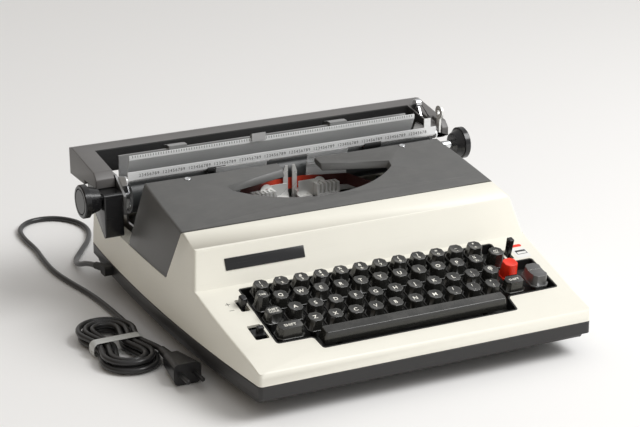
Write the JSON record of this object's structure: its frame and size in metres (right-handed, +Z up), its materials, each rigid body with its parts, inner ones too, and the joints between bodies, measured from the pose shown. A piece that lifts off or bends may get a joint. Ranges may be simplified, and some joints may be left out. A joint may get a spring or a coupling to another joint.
{
  "type": "electric typewriter",
  "caption": "Portable electric typewriter with a cream wedge body, dark ribbon cover, black keys, sliding carriage with platen and knobs, and a tied mains cord.",
  "frame": {"origin": "centre of the footprint, on the surface the feet stand on", "axes": "+X to the right along the carriage, +Y to the back, +Z up"},
  "size_m": [0.4347, 0.5438, 0.1445],
  "materials": {
    "cream_shell": "fine satin moulded finish",
    "grey_cover": "fine satin moulded finish",
    "base_grey": "satin, lightly grained",
    "key_black": "semi-gloss with worn grey tops",
    "key_red": "semi-gloss",
    "gloss_black": "glossy",
    "steel": "brushed",
    "chrome": "polished",
    "platen_rubber": "ground rubber, broad sheen",
    "black_rubber": "matt",
    "ribbon_cloth": "inked cloth",
    "clear_plastic": "clear, slightly smoky",
    "motor_paint": "satin paint",
    "cord_vinyl": "smooth vinyl",
    "tie_plastic": "milky translucent strap"
  },
  "bodies": {
    "root": {"base_tub": "base_grey", "rubber_feet": "black_rubber", "top_housing": "cream_shell", "name_plate": "gloss_black", "main_frame": "steel", "carriage_rail": "steel", "lever_shaft": "steel", "key_bezel": "key_black", "power_switch": "key_black", "guide_plate": "chrome", "card_holders": "clear_plastic", "ribbon": "ribbon_cloth", "motor": "motor_paint", "drive_belt": "black_rubber", "strain_relief": "black_rubber", "power_cord": "cord_vinyl", "cord_hank": "cord_vinyl", "cord_tie": "tie_plastic", "power_plug": "cord_vinyl"},
    "cover": {"ribbon_cover": "grey_cover", "cover_screws": "steel"},
    "type_basket": {"type_segment": "steel", "typebars": "chrome"},
    "carriage": {"carriage_frame": "steel", "rear_housing": "grey_cover", "left_end_box": "gloss_black", "paper_table": "chrome"},
    "platen_roller": {"platen": "platen_rubber", "platen_shaft": "steel", "ratchet_wheel": "steel", "platen_knobs": "gloss_black"},
    "bail": {"paper_bail": "chrome", "bail_rollers": "black_rubber"},
    "centre_typebar_body": {"centre_typebar": "chrome"},
    "centre_key_body": {"centre_key": "key_black"},
    "keys_row_1_body": {"keys_row_1": "key_black"},
    "keys_row_2_body": {"keys_row_2": "key_black"},
    "keys_row_3_body": {"keys_row_3": "key_black"},
    "keys_row_4_body": {"keys_row_4": "key_black"},
    "tab_key_body": {"tab_key": "key_black"},
    "backspace_key_body": {"backspace_key": "key_black"},
    "red_key_body": {"red_key": "key_red"},
    "return_key_body": {"return_key": "key_black"},
    "shift_left_body": {"shift_left": "key_black"},
    "shift_right_body": {"shift_right": "key_black"},
    "shift_lock_body": {"shift_lock": "key_black"},
    "space_bar_body": {"space_bar": "key_black"},
    "ribbon_fork_body": {"ribbon_fork": "chrome"},
    "ribbon_spool_left_body": {"ribbon_spool_left": "steel"},
    "ribbon_spool_right_body": {"ribbon_spool_right": "steel"},
    "motor_pulley_body": {"motor_pulley": "steel"},
    "power_roller_body": {"power_roller": "steel"},
    "touch_lever_body": {"touch_lever": "key_black"},
    "ribbon_slider_body": {"ribbon_slider": "key_black"},
    "power_lever_body": {"power_lever": "gloss_black"},
    "paper_release_lever_body": {"paper_release_lever": "chrome"},
    "carriage_release_lever_body": {"carriage_release_lever": "chrome"},
    "margin_stop_left_body": {"margin_stop_left": "key_black"},
    "margin_stop_right_body": {"margin_stop_right": "key_black"},
    "paper_guide_body": {"paper_guide": "clear_plastic"}
  },
  "joints": [
    {"name": "keys_row_1_press", "type": "hinge", "parent": "root", "child": "keys_row_1_body", "pos_m": [0, 0.02, 0.025], "axis": [1, 0, 0], "range_deg": [0, 1.6], "stiffness_Nm_per_rad": 2, "springref_deg": -8.59},
    {"name": "keys_row_2_press", "type": "hinge", "parent": "root", "child": "keys_row_2_body", "pos_m": [0, 0.02, 0.025], "axis": [1, 0, 0], "range_deg": [0, 1.6], "stiffness_Nm_per_rad": 2, "springref_deg": -8.59},
    {"name": "keys_row_3_press", "type": "hinge", "parent": "root", "child": "keys_row_3_body", "pos_m": [0, 0.02, 0.025], "axis": [1, 0, 0], "range_deg": [0, 1.6], "stiffness_Nm_per_rad": 2, "springref_deg": -8.59},
    {"name": "keys_row_4_press", "type": "hinge", "parent": "root", "child": "keys_row_4_body", "pos_m": [0, 0.02, 0.025], "axis": [1, 0, 0], "range_deg": [0, 1.6], "stiffness_Nm_per_rad": 2, "springref_deg": -8.59},
    {"name": "space_bar_press", "type": "hinge", "parent": "root", "child": "space_bar_body", "pos_m": [0, 0.02, 0.025], "axis": [1, 0, 0], "range_deg": [0, 1.6], "stiffness_Nm_per_rad": 2, "springref_deg": -8.59},
    {"name": "tab_key_press", "type": "hinge", "parent": "root", "child": "tab_key_body", "pos_m": [0, 0.02, 0.025], "axis": [1, 0, 0], "range_deg": [0, 1.6], "stiffness_Nm_per_rad": 0.5, "springref_deg": -8.59},
    {"name": "backspace_key_press", "type": "hinge", "parent": "root", "child": "backspace_key_body", "pos_m": [0, 0.02, 0.025], "axis": [1, 0, 0], "range_deg": [0, 1.6], "stiffness_Nm_per_rad": 0.5, "springref_deg": -8.59},
    {"name": "red_key_press", "type": "hinge", "parent": "root", "child": "red_key_body", "pos_m": [0, 0.02, 0.025], "axis": [1, 0, 0], "range_deg": [0, 1.6], "stiffness_Nm_per_rad": 0.5, "springref_deg": -8.59},
    {"name": "return_key_press", "type": "hinge", "parent": "root", "child": "return_key_body", "pos_m": [0, 0.02, 0.025], "axis": [1, 0, 0], "range_deg": [0, 1.6], "stiffness_Nm_per_rad": 0.5, "springref_deg": -8.59},
    {"name": "shift_left_press", "type": "hinge", "parent": "root", "child": "shift_left_body", "pos_m": [0, 0.02, 0.025], "axis": [1, 0, 0], "range_deg": [0, 1.6], "stiffness_Nm_per_rad": 4, "springref_deg": -11.46},
    {"name": "shift_lock_press", "type": "hinge", "parent": "root", "child": "shift_lock_body", "pos_m": [0, 0.02, 0.025], "axis": [1, 0, 0], "range_deg": [0, 1.6], "stiffness_Nm_per_rad": 0.5, "springref_deg": -8.59},
    {"name": "shift_right_press", "type": "hinge", "parent": "root", "child": "shift_right_body", "pos_m": [0, 0.02, 0.025], "axis": [1, 0, 0], "range_deg": [0, 1.6]},
    {"name": "typebar_swing", "type": "hinge", "parent": "type_basket", "child": "centre_typebar_body", "pos_m": [0, 0.05916, 0.0352], "axis": [-1, 0, 0], "range_deg": [0, 96.5]},
    {"name": "centre_key_press", "type": "hinge", "parent": "root", "child": "centre_key_body", "pos_m": [0, 0.02, 0.025], "axis": [1, 0, 0], "range_deg": [0, 1.6]},
    {"name": "basket_shift", "type": "slide", "parent": "root", "child": "type_basket", "axis": [0, 0, 1], "range_m": [-0.005, 0]},
    {"name": "ribbon_lift", "type": "slide", "parent": "root", "child": "ribbon_fork_body", "axis": [0, 0, 1], "range_m": [0, 0.006]},
    {"name": "cover_lift", "type": "slide", "parent": "root", "child": "cover", "axis": [0, -0.2, 0.9798], "range_m": [0, 0.06]},
    {"name": "spool_left_turn", "type": "hinge", "parent": "root", "child": "ribbon_spool_left_body", "pos_m": [-0.088, 0.015, 0.098], "axis": [0, 0, 1], "continuous": true},
    {"name": "spool_right_turn", "type": "hinge", "parent": "root", "child": "ribbon_spool_right_body", "pos_m": [0.088, 0.015, 0.098], "axis": [0, 0, 1], "continuous": true},
    {"name": "motor_turn", "type": "hinge", "parent": "root", "child": "motor_pulley_body", "pos_m": [-0.064, 0.128, 0.038], "axis": [1, 0, 0], "continuous": true},
    {"name": "roller_turn", "type": "hinge", "parent": "root", "child": "power_roller_body", "pos_m": [0, 0.046, 0.0215], "axis": [1, 0, 0], "continuous": true},
    {"name": "ribbon_colour", "type": "slide", "parent": "root", "child": "ribbon_slider_body", "axis": [0, 0.9698, 0.2441], "range_m": [-0.005, 0.005]},
    {"name": "touch_tilt", "type": "hinge", "parent": "root", "child": "touch_lever_body", "pos_m": [-0.1316, -0.10026, 0.05691], "axis": [1, 0, 0], "range_deg": [-18, 18]},
    {"name": "power_tilt", "type": "hinge", "parent": "root", "child": "power_lever_body", "pos_m": [0.1304, -0.09774, 0.05755], "axis": [1, 0, 0], "range_deg": [-14, 14]},
    {"name": "carriage_travel", "type": "slide", "parent": "root", "child": "carriage", "axis": [1, 0, 0], "range_m": [-0.13, 0.13]},
    {"name": "platen_turn", "type": "hinge", "parent": "carriage", "child": "platen_roller", "pos_m": [0, 0.098, 0.106], "axis": [1, 0, 0], "continuous": true},
    {"name": "bail_lift", "type": "hinge", "parent": "carriage", "child": "bail", "pos_m": [0, 0.108, 0.116], "axis": [-1, 0, 0], "range_deg": [0, 30]},
    {"name": "paper_release", "type": "hinge", "parent": "carriage", "child": "paper_release_lever_body", "pos_m": [0.168, 0.126, 0.118], "axis": [1, 0, 0], "range_deg": [0, 25]},
    {"name": "carriage_release", "type": "hinge", "parent": "carriage", "child": "carriage_release_lever_body", "pos_m": [0.175, 0.107, 0.117], "axis": [1, 0, 0], "range_deg": [0, 15]},
    {"name": "margin_left", "type": "slide", "parent": "carriage", "child": "margin_stop_left_body", "axis": [1, 0, 0], "range_m": [-0.045, 0.06]},
    {"name": "margin_right", "type": "slide", "parent": "carriage", "child": "margin_stop_right_body", "axis": [1, 0, 0], "range_m": [-0.06, 0.06]},
    {"name": "guide_slide", "type": "slide", "parent": "carriage", "child": "paper_guide_body", "axis": [1, 0, 0], "range_m": [-0.06, 0.06]}
  ],
  "couplings": [
    {"joint": "centre_key_press", "follows": "typebar_swing", "ratio": 0.01658},
    {"joint": "ribbon_lift", "follows": "typebar_swing", "m_per_rad": 0.003444},
    {"joint": "shift_right_press", "follows": "shift_left_press", "ratio": 1},
    {"joint": "basket_shift", "follows": "shift_left_press", "m_per_rad": -0.1755},
    {"joint": "roller_turn", "follows": "motor_turn", "ratio": 0.7}
  ]
}
